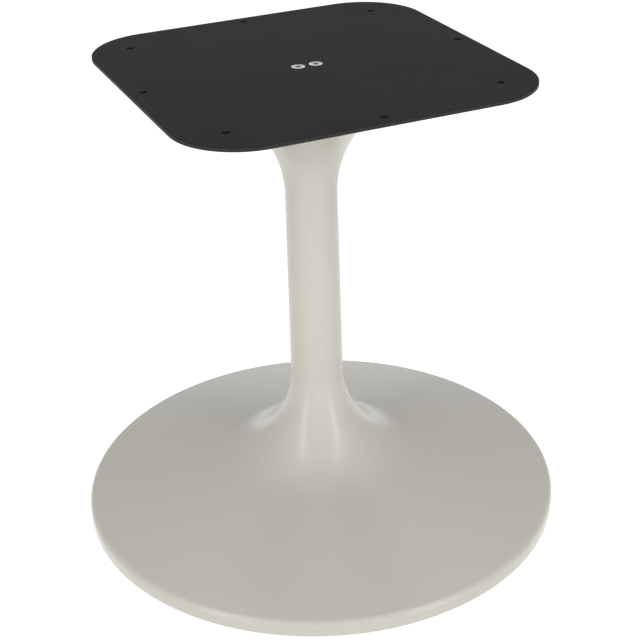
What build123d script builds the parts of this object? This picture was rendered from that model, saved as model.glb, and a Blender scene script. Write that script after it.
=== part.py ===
"""Trumpet pedestal for a dining table: a hollow casting that flares into a round foot
and into a smaller head, with a square steel plate screwed to the head to carry a table top.

Millimetres, +Z up. The origin is on the floor, on the axis of the column, and the sides
of the plate run along X and Y.
"""
import os
from math import asin, atan, atan2, cos, degrees, hypot, radians, sin, tan

from build123d import *

# Overall sizes
HEIGHT = 720.0
FOOT_DIAMETER = 750.0
PLATE_SIDE = 525.0
PLATE_CORNER_RADIUS = 100.0
PLATE_THICKNESS = 6.0
PLATE_EDGE_BREAK = 0.8

# Foot of the casting
FLOOR_GAP = 3.0
RIM_TOP = 26.0
RIM_ROUNDING = 10.0
FOOT_FLARE_RADIUS = 150.0

# Column, which tapers slightly upwards
COLUMN_LOW_HEIGHT = 225.0
COLUMN_LOW_RADIUS = 41.0
COLUMN_HIGH_HEIGHT = 524.0
COLUMN_HIGH_RADIUS = 39.0

# Head of the casting
HEAD_FLARE_RADIUS = 165.0
HEAD_FLARE_ANGLE = 38.0
HEAD_BELL_RADIUS = 530.0
HEAD_LIP = 8.0
HEAD_WEB = 14.0
HEAD_BOSS_RADIUS = 32.0
HEAD_BOSS_DEPTH = 38.0

# Broken edges of the casting, under the rim and at the top of the head's lip
CASTING_EDGE_CHAMFER = 2.0

# Inside of the casting
WALL = 8.0
INNER_RIM_CHAMFER = 5.0
RIB_COUNT = 6
RIB_THICKNESS = 7.0
RIB_LOW_EDGE = 9.0
RIB_BEND_RADIUS = 150.0
RIB_BEND_ROUNDING = 60.0
RIB_TOP_RADIUS = 55.0
RIB_TOP_HEIGHT = 210.0

# Floor glides, one under the outer end of each rib
GLIDE_CIRCLE_RADIUS = 345.0
GLIDE_PAD_RADIUS = 13.0
GLIDE_PAD_HEIGHT = 5.0
GLIDE_PEG_RADIUS = 4.0
GLIDE_PEG_LENGTH = 14.0
GLIDE_BOSS_RADIUS = 15.0
GLIDE_HOLE_DEPTH = 16.0

# Holes for the table top's fixings
TOP_HOLE_DIAMETER = 11.0
CORNER_HOLE_SPACING = 395.0
EDGE_HOLE_SPACING = 484.0

# M10 countersunk socket screws that hold the plate on the head
SCREW_SPACING = 27.0
SCREW_LENGTH = 30.0
SCREW_HEAD_DIAMETER = 20.0
SCREW_HEAD_LAND = 0.35
SCREW_THREAD_DIAMETER = 10.0
SCREW_SOCKET_FLATS = 6.0
SCREW_SOCKET_DEPTH = 4.0
COUNTERSINK_DIAMETER = 21.5
CLEARANCE_HOLE_DIAMETER = 11.0
TAPPED_HOLE_DEPTH = 32.0
FIT_CLEARANCE = 0.05

# Heights and radii that follow
foot_radius = FOOT_DIAMETER / 2
plate_bottom = HEIGHT - PLATE_THICKNESS
countersink_depth = (COUNTERSINK_DIAMETER - SCREW_HEAD_DIAMETER) / 2
screw_land_bottom = HEIGHT - countersink_depth
screw_top = screw_land_bottom + SCREW_HEAD_LAND
rib_angle = 360 / RIB_COUNT

# Centres of the arcs of the half section: both flares start square to the column's side
column_lean = atan((COLUMN_LOW_RADIUS - COLUMN_HIGH_RADIUS) / (COLUMN_HIGH_HEIGHT - COLUMN_LOW_HEIGHT))
foot_centre = (
    COLUMN_LOW_RADIUS + FOOT_FLARE_RADIUS * cos(column_lean),
    COLUMN_LOW_HEIGHT + FOOT_FLARE_RADIUS * sin(column_lean),
)
head_centre = (
    COLUMN_HIGH_RADIUS + HEAD_FLARE_RADIUS * cos(column_lean),
    COLUMN_HIGH_HEIGHT + HEAD_FLARE_RADIUS * sin(column_lean),
)
bell_offset = HEAD_BELL_RADIUS - HEAD_FLARE_RADIUS
bell_centre = (
    head_centre[0] + bell_offset * cos(radians(HEAD_FLARE_ANGLE)),
    head_centre[1] - bell_offset * sin(radians(HEAD_FLARE_ANGLE)),
)

# Slope of the foot: the straight line from the rim's edge that touches the foot's flare
rim_to_centre = (foot_radius - foot_centre[0], foot_centre[1] - RIM_TOP)
foot_slope = atan2(rim_to_centre[1], rim_to_centre[0]) - asin(FOOT_FLARE_RADIUS / hypot(*rim_to_centre))


def half_section(inset, bottom, top, lip):
    """Half of the casting's section, radius along X and height along Y, moved inwards by inset."""
    rim = foot_radius - inset
    slope_drop = inset / cos(foot_slope) - inset * tan(foot_slope)
    bell_end = asin((top - lip - bell_centre[1]) / (HEAD_BELL_RADIUS + inset))
    with BuildSketch() as section:
        with BuildLine():
            foot = CenterArc(
                foot_centre,
                FOOT_FLARE_RADIUS + inset,
                270 - degrees(foot_slope),
                degrees(foot_slope + column_lean) - 90,
            )
            head = CenterArc(
                head_centre,
                HEAD_FLARE_RADIUS + inset,
                180 + degrees(column_lean),
                -degrees(column_lean) - HEAD_FLARE_ANGLE,
            )
            bell = CenterArc(
                bell_centre,
                HEAD_BELL_RADIUS + inset,
                180 - HEAD_FLARE_ANGLE,
                HEAD_FLARE_ANGLE - degrees(bell_end),
            )
            Polyline((0, bottom), (rim, bottom), (rim, RIM_TOP - slope_drop), foot @ 0)
            Line(foot @ 1, head @ 0)
            if lip:
                Line(bell @ 1, ((bell @ 1).X, top))
            Polyline(((bell @ 1).X, top), (0, top), (0, bottom))
        make_face()
    return section.sketch


def outermost(section):
    """The corners of a half section at its largest radius, lowest first."""
    return section.vertices().group_by(Axis.X)[-1].sort_by(Axis.Y)


# One rib, a web that dies out where the foot's hollow meets the column's
with BuildPart() as rib:
    with BuildSketch(Plane.XZ):
        with BuildLine():
            FilletPolyline(
                (foot_radius, RIB_LOW_EDGE),
                (RIB_BEND_RADIUS, RIB_LOW_EDGE),
                (RIB_TOP_RADIUS, RIB_TOP_HEIGHT),
                radius=RIB_BEND_ROUNDING,
            )
            Polyline((RIB_TOP_RADIUS, RIB_TOP_HEIGHT), (foot_radius, RIB_TOP_HEIGHT), (foot_radius, RIB_LOW_EDGE))
        make_face()
    extrude(amount=RIB_THICKNESS / 2, both=True)

# Ribs and bosses that stand in the hollow
with BuildPart() as webs:
    with PolarLocations(0, RIB_COUNT, start_angle=rib_angle / 2):
        add(rib.part)
    with BuildSketch(Plane.XY.offset(GLIDE_PAD_HEIGHT)):
        with PolarLocations(GLIDE_CIRCLE_RADIUS, RIB_COUNT, start_angle=rib_angle / 2):
            Circle(GLIDE_BOSS_RADIUS)
    extrude(amount=RIM_TOP)
    with BuildSketch(Plane.XY.offset(plate_bottom - HEAD_BOSS_DEPTH)):
        Circle(HEAD_BOSS_RADIUS)
    extrude(amount=HEAD_BOSS_DEPTH)

# The hollow, open under the foot and closed under the head's web
with BuildPart() as hollow:
    with BuildSketch(Plane.XZ) as section:
        add(half_section(WALL, 0.0, plate_bottom - HEAD_WEB, 0.0))
        chamfer(outermost(section)[-1], INNER_RIM_CHAMFER)
    revolve(axis=Axis.Z)
    add(webs.part, mode=Mode.SUBTRACT)

# One-piece casting: foot, column and head
with BuildPart() as pedestal:
    with BuildSketch(Plane.XZ) as section:
        add(half_section(0.0, FLOOR_GAP, plate_bottom, HEAD_LIP))
        lip_top = section.vertices().group_by(Axis.Y)[-1].sort_by(Axis.X)[-1]
        chamfer((outermost(section)[0], lip_top), CASTING_EDGE_CHAMFER)
        fillet(outermost(section)[-1], RIM_ROUNDING)
    revolve(axis=Axis.Z)
    add(hollow.part, mode=Mode.SUBTRACT)
    with Locations(Plane.XY.offset(plate_bottom)):
        with GridLocations(SCREW_SPACING, 0, 2, 1):
            Hole(SCREW_THREAD_DIAMETER / 2 + FIT_CLEARANCE, depth=TAPPED_HOLE_DEPTH)
    with BuildSketch(Plane.XY.offset(GLIDE_PAD_HEIGHT)):
        with PolarLocations(GLIDE_CIRCLE_RADIUS, RIB_COUNT, start_angle=rib_angle / 2):
            Circle(GLIDE_PEG_RADIUS + FIT_CLEARANCE)
    extrude(amount=GLIDE_HOLE_DEPTH, mode=Mode.SUBTRACT)

# Square mounting plate
with BuildPart() as top_plate:
    with BuildSketch(Plane.XY.offset(plate_bottom)):
        RectangleRounded(PLATE_SIDE, PLATE_SIDE, PLATE_CORNER_RADIUS)
    extrude(amount=PLATE_THICKNESS)
    faces = top_plate.faces().filter_by(Axis.Z)
    chamfer(faces.edges(), PLATE_EDGE_BREAK)
    with Locations(Plane.XY.offset(HEIGHT)):
        with GridLocations(CORNER_HOLE_SPACING, CORNER_HOLE_SPACING, 2, 2):
            Hole(TOP_HOLE_DIAMETER / 2)
        with PolarLocations(EDGE_HOLE_SPACING / 2, 4):
            Hole(TOP_HOLE_DIAMETER / 2)
        with GridLocations(SCREW_SPACING, 0, 2, 1):
            CounterSinkHole(CLEARANCE_HOLE_DIAMETER / 2, COUNTERSINK_DIAMETER / 2, counter_sink_angle=90)


def countersunk_screw(x):
    """An M10 countersunk screw with a hexagon socket, its axis at x, seated in the plate."""
    head_radius = SCREW_HEAD_DIAMETER / 2
    thread_radius = SCREW_THREAD_DIAMETER / 2
    cone_bottom = screw_land_bottom - (head_radius - thread_radius)
    tip = screw_top - SCREW_LENGTH
    with BuildPart() as screw:
        with BuildSketch(Plane.XZ):
            Polygon(
                (0, tip),
                (thread_radius, tip),
                (thread_radius, cone_bottom),
                (head_radius, screw_land_bottom),
                (head_radius, screw_top),
                (0, screw_top),
                align=None,
            )
        revolve(axis=Axis.Z)
        with BuildSketch(Plane.XY.offset(screw_top)):
            RegularPolygon(SCREW_SOCKET_FLATS / 2, 6, major_radius=False)
        extrude(amount=-SCREW_SOCKET_DEPTH, mode=Mode.SUBTRACT)
    return screw.part.moved(Location((x, 0, 0)))


def floor_glide(angle):
    """A nylon glide whose peg is pressed into the boss at this angle round the foot."""
    with BuildPart() as glide:
        Cylinder(GLIDE_PAD_RADIUS, GLIDE_PAD_HEIGHT, align=(Align.CENTER, Align.CENTER, Align.MIN))
        with BuildSketch(Plane.XY.offset(GLIDE_PAD_HEIGHT)):
            Circle(GLIDE_PEG_RADIUS)
        extrude(amount=GLIDE_PEG_LENGTH)
    x = GLIDE_CIRCLE_RADIUS * cos(radians(angle))
    y = GLIDE_CIRCLE_RADIUS * sin(radians(angle))
    return glide.part.moved(Location((x, y, 0)))


# Name and write every piece
pieces = {
    "pedestal": pedestal.part,
    "top_plate": top_plate.part,
    "plate_screw_left": countersunk_screw(-SCREW_SPACING / 2),
    "plate_screw_right": countersunk_screw(SCREW_SPACING / 2),
}
for number in range(RIB_COUNT):
    pieces[f"floor_glide_{number + 1}"] = floor_glide((number + 0.5) * rib_angle)

os.makedirs("parts", exist_ok=True)
for name, piece in pieces.items():
    piece.label = name
    export_step(piece, f"parts/{name}.step")
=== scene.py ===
"""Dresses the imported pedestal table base: a powder-coated trumpet casting, its black steel
plate, two socket screws and six floor glides, on a pale studio floor.

Metres, +Z up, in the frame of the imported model.
"""
from math import asin, atan, atan2, cos, hypot, pi, radians, sin, sqrt, tan

import bmesh
import bpy
from bpy.props import FloatProperty, FloatVectorProperty, IntProperty, PointerProperty
from mathutils import Matrix, Vector


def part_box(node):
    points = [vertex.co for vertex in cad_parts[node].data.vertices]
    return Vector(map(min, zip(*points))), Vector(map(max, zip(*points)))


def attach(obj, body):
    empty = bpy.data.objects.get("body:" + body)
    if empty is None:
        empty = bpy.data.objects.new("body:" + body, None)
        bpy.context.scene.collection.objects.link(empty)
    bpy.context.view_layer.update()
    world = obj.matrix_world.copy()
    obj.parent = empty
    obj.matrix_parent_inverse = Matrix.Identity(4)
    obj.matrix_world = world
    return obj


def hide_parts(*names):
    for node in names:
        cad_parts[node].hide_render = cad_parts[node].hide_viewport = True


bl_info = {
    "name": "Pedestal table base",
    "version": (1, 0, 0),
    "blender": (4, 5, 0),
    "location": "3D View > Sidebar > Table base",
    "description": "Makes the pieces, finishes and stage of a trumpet pedestal for a table",
    "category": "Object",
}

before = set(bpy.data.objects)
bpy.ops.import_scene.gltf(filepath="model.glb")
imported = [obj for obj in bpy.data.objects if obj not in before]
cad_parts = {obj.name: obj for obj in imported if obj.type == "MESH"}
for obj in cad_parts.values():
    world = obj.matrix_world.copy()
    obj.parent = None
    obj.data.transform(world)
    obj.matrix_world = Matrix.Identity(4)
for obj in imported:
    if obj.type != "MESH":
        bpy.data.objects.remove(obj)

CASTING_LOW, CASTING_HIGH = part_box("pedestal")
SCREW_LOW, SCREW_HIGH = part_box("plate_screw_right")
PLATE_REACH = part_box("top_plate")[1].x
PEG_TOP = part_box("floor_glide_2")[1].z

# The plate keeps its CAD mesh, so its corner radius is fixed here.
PLATE_CORNER = 0.1
FLOOR_Z = 0.0
HOLE_CLEARANCE = 0.00005
MERGE_DISTANCE = 1e-6
SHARP_ANGLE = radians(35)


# Settings


def length(name, description, default):
    """A length in metres that the sidebar shows with its unit."""
    return FloatProperty(
        name=name, description=description, default=default, unit="LENGTH", precision=4
    )


def tilt(name, description, degrees):
    """An angle, given in degrees."""
    return FloatProperty(
        name=name, description=description, default=radians(degrees), subtype="ANGLE"
    )


def colour(name, description, default):
    """A linear colour with a colour picker."""
    return FloatVectorProperty(
        name=name, description=description, default=default, size=3, subtype="COLOR", min=0.0, max=1.0
    )


def share(name, description, default):
    """A number between 0 and 1."""
    return FloatProperty(
        name=name, description=description, default=default, subtype="FACTOR", min=0.0, max=1.0
    )


class CastingSettings(bpy.types.PropertyGroup):
    """Sizes and finish of the trumpet casting."""

    foot_radius: length("Foot radius", "Radius of the round foot", CASTING_HIGH.x)
    bottom: length("Bottom", "Height of the rim's lower edge over the floor", CASTING_LOW.z)
    top: length("Top", "Height of the head's flat top", CASTING_HIGH.z)
    rim_top: length("Rim top", "Height at which the foot's slope would meet the rim", 0.026)
    rim_rounding: length("Rim rounding", "Radius between the rim and the slope", 0.010)
    edge_rounding: length("Edge rounding", "Radius on the rim's lower edge and on the head's lip", 0.0025)
    foot_flare: length("Foot flare", "Radius of the flare between foot and column", 0.150)
    column_low_height: length("Flare top", "Height at which the column starts", 0.225)
    column_low_radius: length("Column radius, low", "Radius at the column's lower end", 0.041)
    column_high_height: length("Column top", "Height at which the column ends", 0.524)
    column_high_radius: length("Column radius, high", "Radius at the column's upper end", 0.039)
    head_flare: length("Head flare", "Radius of the first part of the head's flare", 0.165)
    head_bell: length("Head bell", "Radius of the second part of the head's flare", 0.530)
    head_angle: tilt("Head angle", "Turn of the first part of the head's flare", 38.0)
    head_lip: length("Head lip", "Height of the head's upright edge", 0.008)
    wall: length("Wall", "Thickness of the casting's wall", 0.008)
    web: length("Web", "Thickness of the head's flat top", 0.014)
    head_boss_radius: length("Head boss radius", "Radius of the boss that takes the screws", 0.032)
    head_boss_depth: length("Head boss depth", "Depth of that boss under the head's top", 0.038)
    screw_hole_depth: length("Screw hole depth", "Depth of the two screw holes", 0.032)
    ribs: IntProperty(
        name="Ribs", description="Number of ribs and glide bosses under the foot", default=6, min=3
    )
    rib_thickness: length("Rib thickness", "Thickness of a rib", 0.007)
    rib_low_edge: length("Rib height", "Height of the ribs' lower edge over the floor", 0.009)
    rib_bend: length("Rib bend", "Radius at which the ribs' lower edge turns up", 0.150)
    rib_bend_rounding: length("Rib bend rounding", "Radius of that turn", 0.060)
    rib_edge_rounding: length("Rib edge", "Rounding of the ribs' lower edges", 0.0015)
    segments: IntProperty(
        name="Segments", description="Steps round the casting", default=288, min=48, max=512
    )
    paint: colour("Paint", "Colour of the warm grey powder coat", (0.62, 0.60, 0.53))
    gloss_roughness: share("Roughness", "Roughness of the warm grey powder coat", 0.25)


class PlateSettings(bpy.types.PropertyGroup):
    """Finish of the mounting plate."""

    paint: colour("Paint", "Colour of the black powder coat", (0.0118, 0.0128, 0.0140))
    gloss_roughness: share("Roughness", "Roughness of the black powder coat", 0.6)
    grain: length("Grain", "Size of the fine texture in the coat", 0.0007)
    # Painted reflection: the plate's upright outer edge is painted paler, standing in for the bright room
    # that it reflects.
    edge_reflection: FloatProperty(
        name="Edge reflection",
        description="How much paler the coat is on the plate's outer edge",
        default=1.6,
        min=0.0,
    )


class ScrewSettings(bpy.types.PropertyGroup):
    """Sizes and finish of the two centre screws."""

    spacing: length("Spacing", "Distance between the two screws", SCREW_LOW.x + SCREW_HIGH.x)
    head_radius: length(
        "Head radius", "Radius of the countersunk head", (SCREW_HIGH.x - SCREW_LOW.x) / 2
    )
    head_land: length("Head land", "Upright edge of the head", 0.00035)
    thread_radius: length("Thread radius", "Outer radius of the thread", 0.005)
    pitch: length("Pitch", "Pitch of the thread", 0.0015)
    thread_depth: length("Thread depth", "Depth of the thread", 0.000915)
    plain_shank: length("Plain shank", "Length without thread under the head", 0.002)
    socket_flats: length("Socket", "Width across the hexagon's flats", 0.006)
    socket_depth: length("Socket depth", "Depth of the hexagon socket", 0.004)
    socket_chamfer: length("Socket chamfer", "Width of the chamfer at the socket's mouth", 0.00085)
    metal: colour("Metal", "Colour of the zinc plating", (0.68, 0.68, 0.66))
    gloss_roughness: share("Roughness", "Roughness of the zinc plating", 0.26)


class GlideSettings(bpy.types.PropertyGroup):
    """Sizes and finish of the floor glides."""

    circle_radius: length("Circle", "Radius of the circle that the glides stand on", 0.345)
    pad_radius: length("Pad radius", "Radius of a glide's pad", 0.013)
    pad_height: length("Pad height", "Height of a glide's pad", 0.005)
    peg_radius: length("Peg radius", "Radius of the peg's barbs", 0.004)
    barb_height: length("Barb", "How far the barbs stand out of the peg", 0.0006)
    barb_pitch: length("Barb pitch", "Distance from barb to barb", 0.0028)
    barbs: IntProperty(name="Barbs", description="Number of barbs on a peg", default=4, min=1)
    boss_radius: length("Boss radius", "Radius of the boss over a glide", 0.015)
    boss_top: length("Boss top", "Height at which the boss ends inside the foot's wall", 0.0292)
    peg_hole_depth: length("Hole depth", "Depth of the peg's hole in the boss", 0.016)
    plastic: colour("Plastic", "Colour of the nylon", (0.02, 0.02, 0.02))
    gloss_roughness: share("Roughness", "Roughness of the nylon", 0.48)


class StageSettings(bpy.types.PropertyGroup):
    """Camera, lights and floor."""

    camera_distance: length("Camera distance", "Level distance from the column to the camera", 1.9238)
    camera_height: length("Camera height", "Height of the camera over the floor", 1.34431)
    camera_pitch: tilt("Pitch", "How far the camera looks down", 28.24)
    camera_yaw: tilt("Yaw", "How far the camera looks right of the column", 0.21)
    camera_roll: tilt("Roll", "How far the camera is rolled", -1.8)
    camera_turn: tilt("Turn", "How far the camera stands round the column", 23.33)
    focal_length: FloatProperty(
        name="Focal length", description="Lens in millimetres", default=79.43, min=10.0
    )
    sky_low: share("Sky at the horizon", "Brightness of the room near the horizon", 0.61)
    sky_high: share("Sky overhead", "Brightness of the room overhead", 0.42)
    floor: colour("Floor", "Colour of the pale floor", (0.88, 0.88, 0.88))


# Helpers for node trees


class Value:
    """A number in a node tree. Sums on it add Math nodes to that tree."""

    def __init__(self, graph, socket):
        self.graph = graph
        self.socket = socket

    def math(self, operation, *others):
        inputs = {place: value for place, value in enumerate((self, *others))}
        return self.graph.value("ShaderNodeMath", {"operation": operation}, inputs)

    def __add__(self, other):
        return self.math("ADD", other)

    __radd__ = __add__

    def __sub__(self, other):
        return self.math("SUBTRACT", other)

    def __rsub__(self, other):
        return self.graph.value("ShaderNodeMath", {"operation": "SUBTRACT"}, {0: other, 1: self})

    def __mul__(self, other):
        return self.math("MULTIPLY", other)

    __rmul__ = __mul__

    def __truediv__(self, other):
        return self.math("DIVIDE", other)

    def __pow__(self, other):
        return self.math("POWER", other)

    def __abs__(self):
        return self.math("ABSOLUTE")


class Graph:
    """One node tree that is being built."""

    def __init__(self, tree):
        self.tree = tree
        tree.nodes.clear()

    def node(self, kind, settings=None, inputs=None):
        """Adds a node, sets its settings first, and then the values or links of its sockets."""
        made = self.tree.nodes.new(kind)
        made.location = (200 * (len(self.tree.nodes) % 12), -260 * (len(self.tree.nodes) // 12))
        for key, value in (settings or {}).items():
            setattr(made, key, value)
        for key, value in (inputs or {}).items():
            self.feed(made.inputs[key], value)
        return made

    def feed(self, socket, value):
        """Links a value to a socket, or sets the socket to a plain value."""
        if isinstance(value, Value):
            value = value.socket
        if isinstance(value, bpy.types.NodeSocket):
            self.tree.links.new(value, socket)
        else:
            socket.default_value = value

    def value(self, kind, settings=None, inputs=None, output=0):
        """Adds a node and returns one of its outputs as a Value."""
        return Value(self, self.node(kind, settings, inputs).outputs[output])


def new_material(name):
    """An empty node material, its graph and its output node."""
    material = bpy.data.materials.new(name)
    material.use_nodes = True
    graph = Graph(material.node_tree)
    output = graph.node("ShaderNodeOutputMaterial")
    return material, graph, output


def new_geometry_tree(name, sockets):
    """An empty geometry tree with named inputs, its graph and its input node."""
    tree = bpy.data.node_groups.new(name, "GeometryNodeTree")
    tree.interface.new_socket("Geometry", in_out="INPUT", socket_type="NodeSocketGeometry")
    for socket, kind in sockets.items():
        tree.interface.new_socket(socket, in_out="INPUT", socket_type=kind)
    tree.interface.new_socket("Geometry", in_out="OUTPUT", socket_type="NodeSocketGeometry")
    graph = Graph(tree)
    return tree, graph, graph.node("NodeGroupInput").outputs


# Helpers for meshes


def link(name, mesh):
    """A new object for a mesh, at the origin."""
    made = bpy.data.objects.new(name, mesh)
    bpy.context.scene.collection.objects.link(made)
    return made


def grown(name, start, tree, values):
    """The plain mesh that a geometry tree makes from a starting mesh, with its inputs set by name."""
    source = link(name, start)
    modifier = source.modifiers.new("Grow", "NODES")
    modifier.node_group = tree
    for item in tree.interface.items_tree:
        if item.item_type == "SOCKET" and item.in_out == "INPUT" and item.name in values:
            modifier[item.identifier] = values[item.name]
    source.update_tag()
    bpy.context.view_layer.update()
    evaluated = source.evaluated_get(bpy.context.evaluated_depsgraph_get())
    mesh = bpy.data.meshes.new_from_object(evaluated)
    mesh.name = name
    bpy.data.objects.remove(source)
    bpy.data.meshes.remove(start)
    return mesh


def turned_tree():
    """Turns the points of a half section round Z: each point's X is a radius and its Z a height."""
    tree, graph, given = new_geometry_tree(
        "turned_section", {"Segments": "NodeSocketInt", "Material": "NodeSocketMaterial"}
    )
    count = graph.value(
        "GeometryNodeAttributeDomainSize", {"component": "MESH"}, {"Geometry": given["Geometry"]}
    )
    segments = Value(graph, given["Segments"])
    grid = graph.node("GeometryNodeMeshGrid", None, {"Vertices X": segments + 1, "Vertices Y": count})
    index = graph.value("GeometryNodeInputIndex")
    place = graph.value(
        "GeometryNodeSampleIndex",
        {"data_type": "FLOAT_VECTOR"},
        {
            "Geometry": given["Geometry"],
            "Value": graph.value("GeometryNodeInputPosition"),
            "Index": index.math("MODULO", count),
        },
    )
    parts = graph.node("ShaderNodeSeparateXYZ", None, {0: place})
    radius = Value(graph, parts.outputs[0])
    angle = (index / count).math("FLOOR") * (2 * pi) / segments
    position = graph.value(
        "ShaderNodeCombineXYZ",
        None,
        {0: radius * angle.math("COSINE"), 1: radius * angle.math("SINE"), 2: parts.outputs[2]},
    )
    moved = graph.value(
        "GeometryNodeSetPosition", None, {"Geometry": grid.outputs["Mesh"], "Position": position}
    )
    merged = graph.value(
        "GeometryNodeMergeByDistance", None, {"Geometry": moved, "Distance": MERGE_DISTANCE}
    )
    finish_tree(graph, merged, given)
    return tree


def finish_tree(graph, geometry, given):
    """Ends a geometry tree with smooth shading, real instances and its material."""
    smooth = graph.value("GeometryNodeSetShadeSmooth", None, {"Geometry": geometry})
    real = graph.value("GeometryNodeRealizeInstances", None, {"Geometry": smooth})
    finished = graph.value(
        "GeometryNodeSetMaterial", None, {"Geometry": real, "Material": given["Material"]}
    )
    graph.node("NodeGroupOutput", None, {0: finished})


def ring_tree():
    """Copies of one piece on a circle round Z, each turned to face outwards."""
    tree, graph, given = new_geometry_tree(
        "ring_of_copies",
        {
            "Count": "NodeSocketInt",
            "Radius": "NodeSocketFloat",
            "First Angle": "NodeSocketFloat",
            "Material": "NodeSocketMaterial",
        },
    )
    points = graph.node("GeometryNodePoints", None, {"Count": given["Count"]})
    angle = graph.value("GeometryNodeInputIndex") * (2 * pi) / given["Count"] + given["First Angle"]
    radius = Value(graph, given["Radius"])
    position = graph.value(
        "ShaderNodeCombineXYZ", None, {0: radius * angle.math("COSINE"), 1: radius * angle.math("SINE")}
    )
    placed = graph.value(
        "GeometryNodeSetPosition", None, {"Geometry": points.outputs[0], "Position": position}
    )
    turn = graph.value("ShaderNodeCombineXYZ", None, {2: angle})
    copies = graph.value(
        "GeometryNodeInstanceOnPoints",
        None,
        {"Points": placed, "Instance": given["Geometry"], "Rotation": turn},
    )
    finish_tree(graph, copies, given)
    return tree


def row_tree():
    """Copies of one piece in a row along X, centred on the axis."""
    tree, graph, given = new_geometry_tree(
        "row_of_copies",
        {"Count": "NodeSocketInt", "Spacing": "NodeSocketFloat", "Material": "NodeSocketMaterial"},
    )
    points = graph.node("GeometryNodePoints", None, {"Count": given["Count"]})
    middle = (Value(graph, given["Count"]) - 1) / 2
    step = (graph.value("GeometryNodeInputIndex") - middle) * given["Spacing"]
    position = graph.value("ShaderNodeCombineXYZ", None, {0: step})
    placed = graph.value(
        "GeometryNodeSetPosition", None, {"Geometry": points.outputs[0], "Position": position}
    )
    copies = graph.value(
        "GeometryNodeInstanceOnPoints", None, {"Points": placed, "Instance": given["Geometry"]}
    )
    finish_tree(graph, copies, given)
    return tree


def section_mesh(points):
    """A mesh of loose points from (radius, height) pairs."""
    mesh = bpy.data.meshes.new("section")
    mesh.from_pydata([(x, 0.0, z) for x, z in points], [], [])
    return mesh


def turned(name, points, segments, material):
    """The closed mesh of a half section turned round Z, its faces outwards."""
    mesh = grown(name, section_mesh(points), turned_tree(), {"Segments": segments, "Material": material})
    tidy(mesh)
    return mesh


def tidy(mesh):
    """Merges doubles and points the faces of a closed mesh outwards."""
    made = bmesh.new()
    made.from_mesh(mesh)
    bmesh.ops.remove_doubles(made, verts=made.verts, dist=MERGE_DISTANCE)
    bmesh.ops.dissolve_degenerate(made, edges=made.edges, dist=MERGE_DISTANCE / 10)
    bmesh.ops.recalc_face_normals(made, faces=made.faces)
    made.to_mesh(mesh)
    made.free()


def rounded(line, steps):
    """The points of a line of (x, z, radius) corners, with an arc at each corner that has a radius."""
    most_of_side = 0.45
    points = []
    for before, corner, after in zip([None] + line[:-1], line, line[1:] + [None]):
        here = Vector(corner[:2])
        if before is None or after is None or not corner[2]:
            points.append(tuple(here))
            continue
        back = Vector(before[:2]) - here
        ahead = Vector(after[:2]) - here
        half = back.angle(ahead) / 2
        reach = min(corner[2] / tan(half), most_of_side * back.length, most_of_side * ahead.length)
        start = here + back.normalized() * reach
        end = here + ahead.normalized() * reach
        centre = here + (back.normalized() + ahead.normalized()).normalized() * reach / cos(half)
        spoke, last = start - centre, end - centre
        turn = atan2(spoke.x * last.y - spoke.y * last.x, spoke.dot(last))
        for step in range(steps + 1):
            angle = turn * step / steps
            points.append(
                (
                    centre.x + spoke.x * cos(angle) - spoke.y * sin(angle),
                    centre.y + spoke.x * sin(angle) + spoke.y * cos(angle),
                )
            )
    return points


def arc(centre, radius, start, end, steps):
    """Points on an arc from one angle to another, both ends among them."""
    angles = [start + (end - start) * step / steps for step in range(steps + 1)]
    return [(centre[0] + radius * cos(angle), centre[1] + radius * sin(angle)) for angle in angles]


def joined(meshes, name):
    """One mesh from several, which are removed."""
    made = bmesh.new()
    for mesh in meshes:
        made.from_mesh(mesh)
        bpy.data.meshes.remove(mesh)
    whole = bpy.data.meshes.new(name)
    made.to_mesh(whole)
    made.free()
    return whole


def painted(mesh, paint):
    """The mesh with one paint on all of its faces."""
    mesh.materials.clear()
    mesh.materials.append(paint)
    return mesh


def combined(base, tool, operation):
    """The base mesh joined with a tool mesh or cut by it."""
    first = link("base", base)
    second = link("tool", tool)
    modifier = first.modifiers.new("Combine", "BOOLEAN")
    modifier.operation = operation
    modifier.solver = "EXACT"
    modifier.object = second
    bpy.context.view_layer.update()
    evaluated = first.evaluated_get(bpy.context.evaluated_depsgraph_get())
    result = bpy.data.meshes.new_from_object(evaluated)
    for spent in (first, second):
        mesh = spent.data
        bpy.data.objects.remove(spent)
        bpy.data.meshes.remove(mesh)
    return result


def piece(name, mesh, slot, *nodes):
    """A finished piece that rides on the body and stands for its CAD nodes."""
    mesh.name = name
    for face in mesh.polygons:
        face.use_smooth = True
    mesh.set_sharp_from_angle(angle=SHARP_ANGLE)
    made = link(name, mesh)
    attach(made, "root")
    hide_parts(*nodes)
    return made


# Finishes


def object_point(graph):
    """Object coordinates, in metres from the frame's origin."""
    return graph.value("ShaderNodeTexCoord", output=3)


def noise(graph, point, size, detail=2.0, roughness=0.5):
    """Noise between 0 and 1 whose blotches are about this size."""
    return graph.value(
        "ShaderNodeTexNoise",
        {"noise_dimensions": "3D"},
        {"Vector": point, "Scale": 1.0 / size, "Detail": detail, "Roughness": roughness},
    )


def tinted(graph, paint, low, high, factor):
    """A colour that runs between two multiples of a paint as factor goes from 0 to 1."""
    mixed = graph.node(
        "ShaderNodeMix",
        {"data_type": "RGBA"},
        {0: factor, 6: (*[part * low for part in paint], 1.0), 7: (*[part * high for part in paint], 1.0)},
    )
    return mixed.outputs[2]


def scaled(graph, paint, factor):
    """A colour times a number that changes over the surface."""
    product = graph.node("ShaderNodeVectorMath", {"operation": "SCALE"}, {0: paint, "Scale": factor})
    return product.outputs["Vector"]


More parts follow.
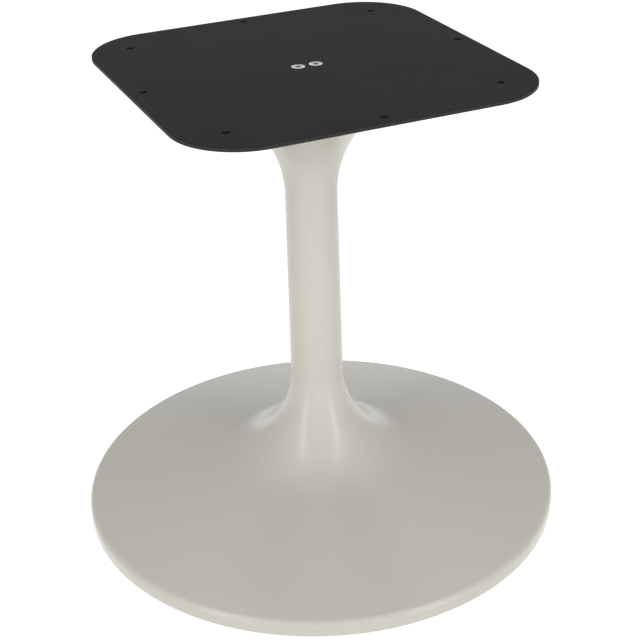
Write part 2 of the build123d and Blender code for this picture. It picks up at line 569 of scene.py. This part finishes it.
def plate_rim(graph, point):
    """1 on the upright outer edge of the plate, 0 on its faces and in its holes: where the painted
    reflection goes.
    """
    normal = graph.node("ShaderNodeNewGeometry").outputs["Normal"]
    facing = graph.node("ShaderNodeSeparateXYZ", None, {0: normal})
    upright = 1.0 - abs(Value(graph, facing.outputs[2]))
    across = graph.node("ShaderNodeSeparateXYZ", None, {0: point})
    straight = PLATE_REACH - PLATE_CORNER
    past_x = (abs(Value(graph, across.outputs[0])) - straight).math("MAXIMUM", 0.0)
    past_y = (abs(Value(graph, across.outputs[1])) - straight).math("MAXIMUM", 0.0)
    reach = (past_x * past_x + past_y * past_y) ** 0.5
    past_holes = PLATE_CORNER - 0.002
    return upright * reach.math("GREATER_THAN", past_holes)


def powder_coat(name, paint, roughness, sheen, peel, grain, mottle, uneven, edge_reflection=0.0):
    """A sprayed and baked powder coat, mottled a little in colour and uneven in gloss.

    Sheen is how strongly it reflects. Peel is the size and depth of its soft waves, and grain
    of its fine texture. With an edge reflection above 0, the plate's outer edge is painted that
    much paler, a painted reflection of the bright room on that edge.
    """
    material, graph, output = new_material(name)
    point = object_point(graph)
    blotch_size = 0.12
    peel_size, peel_depth = peel
    grain_size, grain_depth = grain
    blotches = noise(graph, point, blotch_size, 3.0)
    speck = noise(graph, point, grain_size, 1.0)
    tint = tinted(graph, paint, 1.0 - mottle, 1.0 + mottle, blotches * 0.6 + speck * 0.4)
    # Painted reflection: the plate's upright outer edge is painted paler.
    if edge_reflection:
        tint = scaled(graph, tint, 1.0 + plate_rim(graph, point) * edge_reflection)
    waves = noise(graph, point, peel_size, 1.5, 0.4)
    coarse = graph.node("ShaderNodeBump", None, {"Strength": 1.0, "Distance": peel_depth, "Height": waves})
    fine = graph.node(
        "ShaderNodeBump",
        None,
        {"Strength": 1.0, "Distance": grain_depth, "Height": speck, "Normal": coarse.outputs[0]},
    )
    shader = graph.node(
        "ShaderNodeBsdfPrincipled",
        None,
        {
            "Base Color": tint,
            "Roughness": (speck - 0.5) * uneven + (blotches - 0.5) * uneven / 2 + roughness,
            "Specular IOR Level": sheen,
            "Normal": fine.outputs[0],
        },
    )
    graph.feed(output.inputs["Surface"], shader.outputs[0])
    return material


def zinc_plate(settings):
    """Bright zinc on a turned head: fine rings round each screw's axis, a faint clouding, and painted
    shade in and round its socket, which darkens the colour and dulls the gloss there.
    """
    material, graph, output = new_material("zinc_plated_steel")
    point = object_point(graph)
    parts = graph.node("ShaderNodeSeparateXYZ", None, {0: point})
    across = abs(Value(graph, parts.outputs[0])) - settings.spacing / 2
    along = Value(graph, parts.outputs[1])
    radius = (across * across + along * along) ** 0.5
    ring_spacing, ring_depth, cloud_size = 0.00032, 4e-6, 0.003
    # Painted shade: the colour is darkened inside the socket and a little round its mouth, with a noisy
    # edge, and the gloss is dulled there.
    shade_full, shade_end = settings.socket_flats * 0.69, settings.socket_flats * 0.87
    shade_spread, shade_darkness, shade_dullness = 0.0016, 0.60, 0.3
    rings = (radius * (2 * pi / ring_spacing)).math("SINE") * 0.5 + 0.5
    cloud = noise(graph, point, cloud_size, 3.0)
    socket_shade = graph.value(
        "ShaderNodeMapRange",
        {"interpolation_type": "SMOOTHSTEP"},
        {0: (cloud - 0.5) * shade_spread + radius, 1: shade_full, 2: shade_end, 3: 1.0, 4: 0.0},
    )
    grooves = graph.node("ShaderNodeBump", None, {"Strength": 1.0, "Distance": ring_depth, "Height": rings})
    clouded = tinted(graph, settings.metal, 0.9, 1.06, cloud)
    shader = graph.node(
        "ShaderNodeBsdfPrincipled",
        None,
        {
            # The base colour carries the painted shade of the socket.
            "Base Color": scaled(graph, clouded, 1.0 - socket_shade * shade_darkness),
            "Metallic": 1.0,
            "Roughness": cloud * 0.14 + socket_shade * shade_dullness + settings.gloss_roughness - 0.05,
            "Normal": grooves.outputs[0],
        },
    )
    graph.feed(output.inputs["Surface"], shader.outputs[0])
    return material


def nylon(settings):
    """Moulded black nylon, slightly uneven, with the scuffs of a floor on its underside."""
    material, graph, output = new_material("black_nylon")
    point = object_point(graph)
    scuff_size, scuff_depth, worn_height = 0.0012, 2e-5, 0.0008
    scuffs = noise(graph, point, scuff_size, 4.0, 0.7)
    parts = graph.node("ShaderNodeSeparateXYZ", None, {0: point})
    near_floor = graph.value(
        "ShaderNodeMapRange", None, {0: parts.outputs[2], 1: FLOOR_Z, 2: worn_height, 3: 1.0, 4: 0.0}
    )
    grain = graph.node("ShaderNodeBump", None, {"Strength": 1.0, "Distance": scuff_depth, "Height": scuffs})
    shader = graph.node(
        "ShaderNodeBsdfPrincipled",
        None,
        {
            "Base Color": tinted(graph, settings.plastic, 1.0, 3.0, near_floor * scuffs),
            "Roughness": near_floor * scuffs * 0.3 + settings.gloss_roughness,
            "Normal": grain.outputs[0],
        },
    )
    graph.feed(output.inputs["Surface"], shader.outputs[0])
    return material


# The casting's section


class Section:
    """The casting's half section, every surface moved inwards by inset."""

    def __init__(self, settings, inset):
        self.settings = settings
        self.inset = inset
        lean = atan(
            (settings.column_low_radius - settings.column_high_radius)
            / (settings.column_high_height - settings.column_low_height)
        )
        self.lean = lean
        self.foot_centre = (
            settings.column_low_radius + settings.foot_flare * cos(lean),
            settings.column_low_height + settings.foot_flare * sin(lean),
        )
        self.head_centre = (
            settings.column_high_radius + settings.head_flare * cos(lean),
            settings.column_high_height + settings.head_flare * sin(lean),
        )
        offset = settings.head_bell - settings.head_flare
        self.bell_centre = (
            self.head_centre[0] + offset * cos(settings.head_angle),
            self.head_centre[1] - offset * sin(settings.head_angle),
        )
        out = settings.foot_radius - self.foot_centre[0]
        up = self.foot_centre[1] - settings.rim_top
        self.slope = atan2(up, out) - asin(settings.foot_flare / hypot(out, up))
        self.rim = settings.foot_radius - inset
        self.rim_height = settings.rim_top - inset / cos(self.slope) + inset * tan(self.slope)

    def foot_flare(self, steps):
        """The flare's arc, from the slope up to the column."""
        radius = self.settings.foot_flare + self.inset
        return arc(self.foot_centre, radius, 1.5 * pi - self.slope, pi + self.lean, steps)

    def head_flare(self, top, steps):
        """The head's two arcs, from the column up to a height."""
        settings = self.settings
        first = arc(
            self.head_centre,
            settings.head_flare + self.inset,
            pi + self.lean,
            pi - settings.head_angle,
            steps,
        )
        radius = settings.head_bell + self.inset
        end = asin((top - self.bell_centre[1]) / radius)
        second = arc(self.bell_centre, radius, pi - settings.head_angle, pi - end, steps)
        return first + second[1:]

    def surface(self, top, steps):
        """The whole surface from the top of the slope to a height in the head, as sharp corners."""
        return [(x, z, 0.0) for x, z in self.foot_flare(steps) + self.head_flare(top, steps)]

    def radius_at(self, height):
        """The radius of the slope or flare at a height below the column."""
        reach = self.settings.foot_flare + self.inset
        drop = self.foot_centre[1] - height
        if drop < reach * cos(self.slope):
            return self.foot_centre[0] - sqrt(reach * reach - drop * drop)
        return self.rim - (height - self.rim_height) / tan(self.slope)


def casting_section(settings):
    """Corners of the casting's whole section, from the top's centre round to the boss's underside."""
    outer = Section(settings, 0.0)
    inner = Section(settings, settings.wall)
    web = settings.top - settings.web
    boss_bottom = settings.top - settings.head_boss_depth
    outside = outer.surface(settings.top - settings.head_lip, 44)[::-1]
    inside = inner.surface(web, 30)
    lip = outside[0][0]
    under_web = inside[-1][:2]
    rim_inner_edge, rim_root, web_root, boss_root, boss_edge = 0.0015, 0.005, 0.003, 0.004, 0.002
    return rounded(
        [
            (0.0, settings.top, 0.0),
            (lip, settings.top, settings.edge_rounding),
            *outside,
            (outer.rim, outer.rim_height, settings.rim_rounding),
            (outer.rim, settings.bottom, settings.edge_rounding),
            (inner.rim, settings.bottom, rim_inner_edge),
            (inner.rim, inner.rim_height, rim_root),
            *inside[:-1],
            (*under_web, web_root),
            (settings.head_boss_radius, web, boss_root),
            (settings.head_boss_radius, boss_bottom, boss_edge),
            (0.0, boss_bottom, 0.0),
        ],
        8,
    )


def rib_mesh(settings):
    """One rib along +X, from the rim's wall to where it dies out in the flare, with soft lower edges."""
    middle = Section(settings, settings.wall / 2)
    # The lower edge runs level to the bend, and from there towards a point in the flare.
    bend = (settings.rib_bend, settings.rib_low_edge)
    aim = (0.055, 0.210)

    def on_edge(step):
        return tuple(bend[axis] + (aim[axis] - bend[axis]) * step for axis in range(2))

    low, high = 0.0, 1.0
    for _ in range(40):
        step = (low + high) / 2
        x, z = on_edge(step)
        if x < middle.radius_at(z):
            low = step
        else:
            high = step
    end = on_edge(low)
    under = rounded(
        [(middle.rim, settings.rib_low_edge, 0.0), (*bend, settings.rib_bend_rounding), (*end, 0.0)], 10
    )
    over = [(x, z) for x, z in middle.foot_flare(60) if x > end[0] and z < end[1]][::-1]
    outline = under + over + [(middle.rim, middle.rim_height)]
    made = bmesh.new()
    half = settings.rib_thickness / 2
    face = made.faces.new([made.verts.new((x, -half, z)) for x, z in outline])
    edges_under = list(face.edges)[: len(under) - 1]
    extruded = bmesh.ops.extrude_face_region(made, geom=[face])
    far_side = [item for item in extruded["geom"] if isinstance(item, bmesh.types.BMVert)]
    bmesh.ops.translate(made, verts=far_side, vec=(0.0, settings.rib_thickness, 0.0))
    soft = [
        edge
        for edge in made.edges
        if abs(edge.verts[0].co.y - edge.verts[1].co.y) < 1e-9
        and any(
            all((vert.co.xz - mark.co.xz).length < 1e-7 for vert, mark in zip(pair, old.verts))
            for old in edges_under
            for pair in (edge.verts, reversed(edge.verts))
        )
    ]
    bmesh.ops.bevel(
        made, geom=soft, offset=settings.rib_edge_rounding, segments=2, profile=0.5, affect="EDGES"
    )
    bmesh.ops.recalc_face_normals(made, faces=made.faces)
    mesh = bpy.data.meshes.new("rib")
    made.to_mesh(mesh)
    made.free()
    return mesh


def boss_mesh(glide):
    """One glide boss on the axis, with the blind hole for the glide's peg."""
    hole = glide.peg_radius + HOLE_CLEARANCE
    hole_top = glide.pad_height + glide.peg_hole_depth
    hole_edge, boss_edge = 0.0003, 0.0015
    points = rounded(
        [
            (0.0, hole_top, 0.0),
            (hole, hole_top, 0.0),
            (hole, glide.pad_height, hole_edge),
            (glide.boss_radius, glide.pad_height, boss_edge),
            (glide.boss_radius, glide.boss_top, 0.0),
            (0.0, glide.boss_top, 0.0),
        ],
        4,
    )
    return turned("boss", points, 40, None)


def screw_hole_mesh(settings, screws, paint):
    """The space of one screw hole on the axis, from its bottom to a little over the head's top."""
    radius = screws.thread_radius + HOLE_CLEARANCE
    bottom, over = settings.top - settings.screw_hole_depth, settings.top + 0.002
    return turned("hole", [(0.0, bottom), (radius, bottom), (radius, over), (0.0, over)], 40, paint)


# Operators


class OBJECT_OT_table_casting(bpy.types.Operator):
    """Makes the trumpet casting: foot, column and head in one piece, with its ribs and bosses"""

    bl_idname = "object.table_casting"
    bl_label = "Trumpet casting"

    def execute(self, context):
        settings = context.scene.table_casting
        glide = context.scene.table_glides
        screws = context.scene.table_screws
        paint = powder_coat(
            "greige_powder_coat",
            settings.paint,
            settings.gloss_roughness,
            sheen=0.5,
            peel=(0.0030, 6e-6),
            grain=(0.0009, 2.5e-6),
            mottle=0.012,
            uneven=0.06,
        )
        shell = turned("shell", casting_section(settings), settings.segments, paint)
        ring = {"Count": settings.ribs, "First Angle": pi / settings.ribs, "Material": paint}
        ribs = grown("ribs", rib_mesh(settings), ring_tree(), {**ring, "Radius": 0.0})
        bosses = grown("bosses", boss_mesh(glide), ring_tree(), {**ring, "Radius": glide.circle_radius})
        whole = combined(shell, ribs, "UNION")
        whole = combined(whole, bosses, "UNION")
        hole = screw_hole_mesh(settings, screws, paint)
        row = {"Count": 2, "Spacing": screws.spacing, "Material": paint}
        whole = combined(whole, grown("holes", hole, row_tree(), row), "DIFFERENCE")
        tidy(whole)
        piece("trumpet_casting", painted(whole, paint), "greige_powder_coat", "pedestal")
        return {"FINISHED"}


class OBJECT_OT_table_plate(bpy.types.Operator):
    """Gives the square mounting plate its fine-textured black powder coat"""

    bl_idname = "object.table_plate"
    bl_label = "Mounting plate"

    def execute(self, context):
        settings = context.scene.table_plate
        paint = powder_coat(
            "black_powder_coat",
            settings.paint,
            settings.gloss_roughness,
            sheen=0.09,
            peel=(0.0040, 8e-6),
            grain=(settings.grain, 2.2e-5),
            mottle=0.10,
            uneven=0.16,
            # The plate's outer edge gets a painted reflection in its colour.
            edge_reflection=settings.edge_reflection,
        )
        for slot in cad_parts["top_plate"].material_slots:
            slot.material = paint
        return {"FINISHED"}


class OBJECT_OT_table_screws(bpy.types.Operator):
    """Makes the two countersunk socket screws that hold the plate"""

    bl_idname = "object.table_screws"
    bl_label = "Centre screws"

    def execute(self, context):
        settings = context.scene.table_screws
        metal = zinc_plate(settings)
        screw = screw_mesh(settings, metal)
        row = {"Count": 2, "Spacing": settings.spacing, "Material": metal}
        both = grown("screws", screw, row_tree(), row)
        piece("centre_screws", both, "zinc_plated_steel", "plate_screw_left", "plate_screw_right")
        return {"FINISHED"}


def screw_mesh(settings, metal):
    """One socket screw on the axis, its head up and its thread down."""
    top, tip = SCREW_HIGH.z, SCREW_LOW.z
    head, thread = settings.head_radius, settings.thread_radius
    cone_bottom = top - settings.head_land - (head - thread)
    core = thread - settings.thread_depth
    shank = cone_bottom - settings.plain_shank
    corner = settings.socket_flats / 2 / cos(pi / 6)
    mouth = corner + settings.socket_chamfer
    socket_bottom = top - settings.socket_depth
    drill_point, tip_chamfer, thread_end = 0.0012, 0.0008, 0.0010
    neck_rounding, head_rounding = 0.0006, 0.0002
    body = turned(
        "body",
        rounded(
            [
                (0.0, tip, 0.0),
                (core - tip_chamfer, tip, 0.0),
                (core, tip + tip_chamfer, 0.0),
                (core, shank - thread_end, 0.0),
                (thread, shank, 0.0),
                (thread, cone_bottom, neck_rounding),
                (head, top - settings.head_land, head_rounding),
                (head, top, head_rounding),
                (mouth, top, 0.0),
                (corner, top - settings.socket_chamfer, 0.0),
                (corner, socket_bottom, 0.0),
                (0.0, socket_bottom - drill_point, 0.0),
            ],
            3,
        ),
        96,
        metal,
    )
    make_hexagonal(body, socket_bottom - drill_point / 2, mouth)
    ridge = thread_mesh(settings, core, tip + thread_end, shank - tip_chamfer)
    return painted(joined([body, ridge], "screw"), metal)


def make_hexagonal(mesh, bottom, reach):
    """Pulls the round socket of a turned screw in to a hexagon with corners on the X axis."""
    for vert in mesh.vertices:
        x, y, z = vert.co
        if z > bottom and hypot(x, y) < reach + MERGE_DISTANCE:
            pull = cos(pi / 6) / cos(atan2(y, x) % (pi / 3) - pi / 6)
            vert.co = (x * pull, y * pull, z)


def thread_mesh(settings, core, low, high):
    """A closed helical ridge of triangular section, which runs out at both ends."""
    steps_per_turn = 40
    run_out = steps_per_turn / 2
    # Half widths in pitches, and a foot that reaches a little into the core.
    root_width, crest_width = 0.45, 0.06
    inside = core - 0.0002
    count = int(((high - low) / settings.pitch - 1) * steps_per_turn)
    made = bmesh.new()
    rings = []
    for step in range(count + 1):
        angle = 2 * pi * step / steps_per_turn
        height = low + settings.pitch * (0.5 + step / steps_per_turn)
        fade = max(min(1.0, step / run_out, (count - step) / run_out), 0.05)
        crest = inside + (settings.thread_radius - inside) * fade
        section = ((inside, -root_width), (crest, -crest_width), (crest, crest_width), (inside, root_width))
        rings.append(
            [
                made.verts.new((radius * cos(angle), radius * sin(angle), height + rise * settings.pitch))
                for radius, rise in section
            ]
        )
    for first, second in zip(rings, rings[1:]):
        for side in range(4):
            other = (side + 1) % 4
            made.faces.new((first[side], first[other], second[other], second[side]))
    made.faces.new(rings[0][::-1])
    made.faces.new(rings[-1])
    bmesh.ops.recalc_face_normals(made, faces=made.faces)
    mesh = bpy.data.meshes.new("thread")
    made.to_mesh(mesh)
    made.free()
    return mesh


class OBJECT_OT_table_glides(bpy.types.Operator):
    """Makes the nylon glides under the foot"""

    bl_idname = "object.table_glides"
    bl_label = "Floor glides"

    def execute(self, context):
        settings = context.scene.table_glides
        casting = context.scene.table_casting
        plastic = nylon(settings)
        pad, peg = settings.pad_radius, settings.peg_radius
        height = settings.pad_height
        stem = peg - settings.barb_height
        pad_edge, pad_top_edge, peg_edge = 0.0015, 0.0006, 0.0004
        first_barb, barb_step, barb_slope = height + 0.002, 0.0002, 0.0024
        line = [
            (0.0, FLOOR_Z, 0.0),
            (pad, FLOOR_Z, pad_edge),
            (pad, height, pad_top_edge),
            (stem, height, peg_edge),
        ]
        for barb in range(settings.barbs):
            start = first_barb + settings.barb_pitch * barb
            line += [(stem, start, 0.0), (peg, start + barb_step, 0.0), (stem, start + barb_slope, 0.0)]
        line += [(stem - settings.barb_height, PEG_TOP, peg_edge), (0.0, PEG_TOP, 0.0)]
        glide = turned("glide", rounded(line, 5), 64, plastic)
        ring = {
            "Count": casting.ribs,
            "Radius": settings.circle_radius,
            "First Angle": pi / casting.ribs,
            "Material": plastic,
        }
        glides = grown("glides", glide, ring_tree(), ring)
        nodes = [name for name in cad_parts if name.startswith("floor_glide_")]
        piece("floor_glides", glides, "black_nylon", *nodes)
        return {"FINISHED"}


class OBJECT_OT_table_stage(bpy.types.Operator):
    """Sets up the pale floor, the soft lights and the camera"""

    bl_idname = "object.table_stage"
    bl_label = "Stage"

    def execute(self, context):
        settings = context.scene.table_stage
        make_floor(settings)
        make_sky(settings)
        make_lights(settings)
        make_camera(settings)
        context.scene.view_settings.view_transform = "Standard"
        return {"FINISHED"}


def seen_directly(graph, by_camera, in_reflections):
    """One value for rays from the camera, one for reflections, and 0 for the light on the object."""
    path = graph.node("ShaderNodeLightPath")
    camera = Value(graph, path.outputs["Is Camera Ray"])
    glossy = Value(graph, path.outputs["Is Glossy Ray"])
    mirrored = glossy.math("MAXIMUM", path.outputs["Is Transmission Ray"])
    return camera * by_camera + mirrored * in_reflections


def make_floor(settings):
    """A large pale floor that shows white and keeps the object's shadow."""
    mesh = bpy.data.meshes.new("studio_floor")
    reach = 8.0
    square = [(x * reach, y * reach, FLOOR_Z) for x, y in ((-1, -1), (1, -1), (1, 1), (-1, 1))]
    mesh.from_pydata(square, [], [(0, 1, 2, 3)])
    material, graph, output = new_material("pale_floor")
    diffuse = graph.node("ShaderNodeBsdfDiffuse", None, {"Color": (*settings.floor, 1.0)})
    strength = seen_directly(graph, 0.66, 0.85)
    glow = graph.node("ShaderNodeEmission", None, {"Color": (1.0, 1.0, 1.0, 1.0), "Strength": strength})
    both = graph.node("ShaderNodeAddShader", None, {0: diffuse.outputs[0], 1: glow.outputs[0]})
    graph.feed(output.inputs["Surface"], both.outputs[0])
    mesh.materials.append(material)
    link("studio_floor", mesh)


def make_sky(settings):
    """A white room: full white where it is seen, a little dimmer in reflections, and dimmer still
    where it lights the object, most of all overhead.
    """
    world = bpy.data.worlds.new("white_room")
    bpy.context.scene.world = world
    world.use_nodes = True
    graph = Graph(world.node_tree)
    direction = graph.node("ShaderNodeTexCoord").outputs["Generated"]
    height = graph.node("ShaderNodeSeparateXYZ", None, {0: direction}).outputs[2]
    overhead = 0.75
    room = graph.value(
        "ShaderNodeMapRange",
        {"interpolation_type": "SMOOTHSTEP"},
        {0: height, 1: 0.0, 2: overhead, 3: settings.sky_low, 4: settings.sky_high},
    )
    strength = room + (1.0 - room) * seen_directly(graph, 1.0, 0.65)
    background = graph.node(
        "ShaderNodeBackground", None, {"Color": (1.0, 1.0, 1.0, 1.0), "Strength": strength}
    )
    graph.node("ShaderNodeOutputWorld", None, {"Surface": background.outputs[0]})


def make_lights(settings):
    """Two tall strips at the camera's sides, and a wide soft box in front that no gloss mirrors."""
    camera_side = -pi / 2 - settings.camera_turn
    for name, side, aim_height, place_height, distance, width, height, power in (
        ("strip_left", -44.0, 1.8, 1.8, 2.2, 0.42, 3.8, 19.6),
        ("strip_right", 47.0, 1.8, 1.8, 2.2, 0.46, 3.8, 21.1),
        ("softbox_front", 0.0, 0.3, 0.9, 3.2, 2.6, 1.2, 17.7),
    ):
        light = bpy.data.lights.new(name, "AREA")
        light.shape = "RECTANGLE"
        light.size, light.size_y, light.energy = width, height, power
        around = camera_side + radians(side)
        aim = Vector((0.0, 0.0, aim_height))
        place = Vector((distance * cos(around), distance * sin(around), place_height))
        lamp = bpy.data.objects.new(name, light)
        lamp.location = place
        lamp.visible_glossy = name != "softbox_front"
        lamp.rotation_euler = (aim - place).to_track_quat("-Z", "Y").to_euler()
        bpy.context.scene.collection.objects.link(lamp)


def make_camera(settings):
    """The camera, at the photograph's angle: turned, tipped and rolled, then carried round the column."""
    yaw, pitch, roll = settings.camera_yaw, settings.camera_pitch, settings.camera_roll
    forward = Vector((sin(yaw) * cos(pitch), cos(yaw) * cos(pitch), -sin(pitch)))
    level = Vector((cos(yaw), -sin(yaw), 0.0))
    upright = level.cross(forward)
    right = cos(roll) * level + sin(roll) * upright
    up = cos(roll) * upright - sin(roll) * level
    turned_frame = Matrix((right, up, -forward)).transposed().to_4x4()
    turned_frame.translation = Vector((0.0, -settings.camera_distance, settings.camera_height))
    lens = bpy.data.cameras.new("photo_camera")
    lens.sensor_width = 36.0
    lens.lens = settings.focal_length
    camera = bpy.data.objects.new("photo_camera", lens)
    camera.matrix_world = Matrix.Rotation(-settings.camera_turn, 4, "Z") @ turned_frame
    bpy.context.scene.collection.objects.link(camera)
    bpy.context.scene.camera = camera


class VIEW3D_PT_table_base(bpy.types.Panel):
    """The table base's sizes, finishes and steps"""

    bl_label = "Pedestal table base"
    bl_space_type = "VIEW_3D"
    bl_region_type = "UI"
    bl_category = "Table base"

    def draw(self, context):
        for name, operator in STEPS:
            box = self.layout.box()
            box.operator(operator)
            settings = getattr(context.scene, name)
            for key in settings.bl_rna.properties.keys():
                if key not in ("rna_type", "name"):
                    box.prop(settings, key)


STEPS = (
    ("table_stage", OBJECT_OT_table_stage.bl_idname),
    ("table_casting", OBJECT_OT_table_casting.bl_idname),
    ("table_plate", OBJECT_OT_table_plate.bl_idname),
    ("table_screws", OBJECT_OT_table_screws.bl_idname),
    ("table_glides", OBJECT_OT_table_glides.bl_idname),
)

GROUPS = {
    "table_casting": CastingSettings,
    "table_plate": PlateSettings,
    "table_screws": ScrewSettings,
    "table_glides": GlideSettings,
    "table_stage": StageSettings,
}

CLASSES = (
    *GROUPS.values(),
    OBJECT_OT_table_casting,
    OBJECT_OT_table_plate,
    OBJECT_OT_table_screws,
    OBJECT_OT_table_glides,
    OBJECT_OT_table_stage,
    VIEW3D_PT_table_base,
)


def register():
    """Registers the classes and puts each group of settings on the scene."""
    for made in CLASSES:
        bpy.utils.register_class(made)
    for name, group in GROUPS.items():
        setattr(bpy.types.Scene, name, PointerProperty(type=group))


def unregister():
    """Takes back what register did."""
    for name in GROUPS:
        delattr(bpy.types.Scene, name)
    for made in reversed(CLASSES):
        bpy.utils.unregister_class(made)


def main():
    """Makes every piece in order."""
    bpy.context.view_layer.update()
    register()
    for _, operator in STEPS:
        group, action = operator.split(".")
        getattr(getattr(bpy.ops, group), action)()


if __name__ == "__main__":
    main()
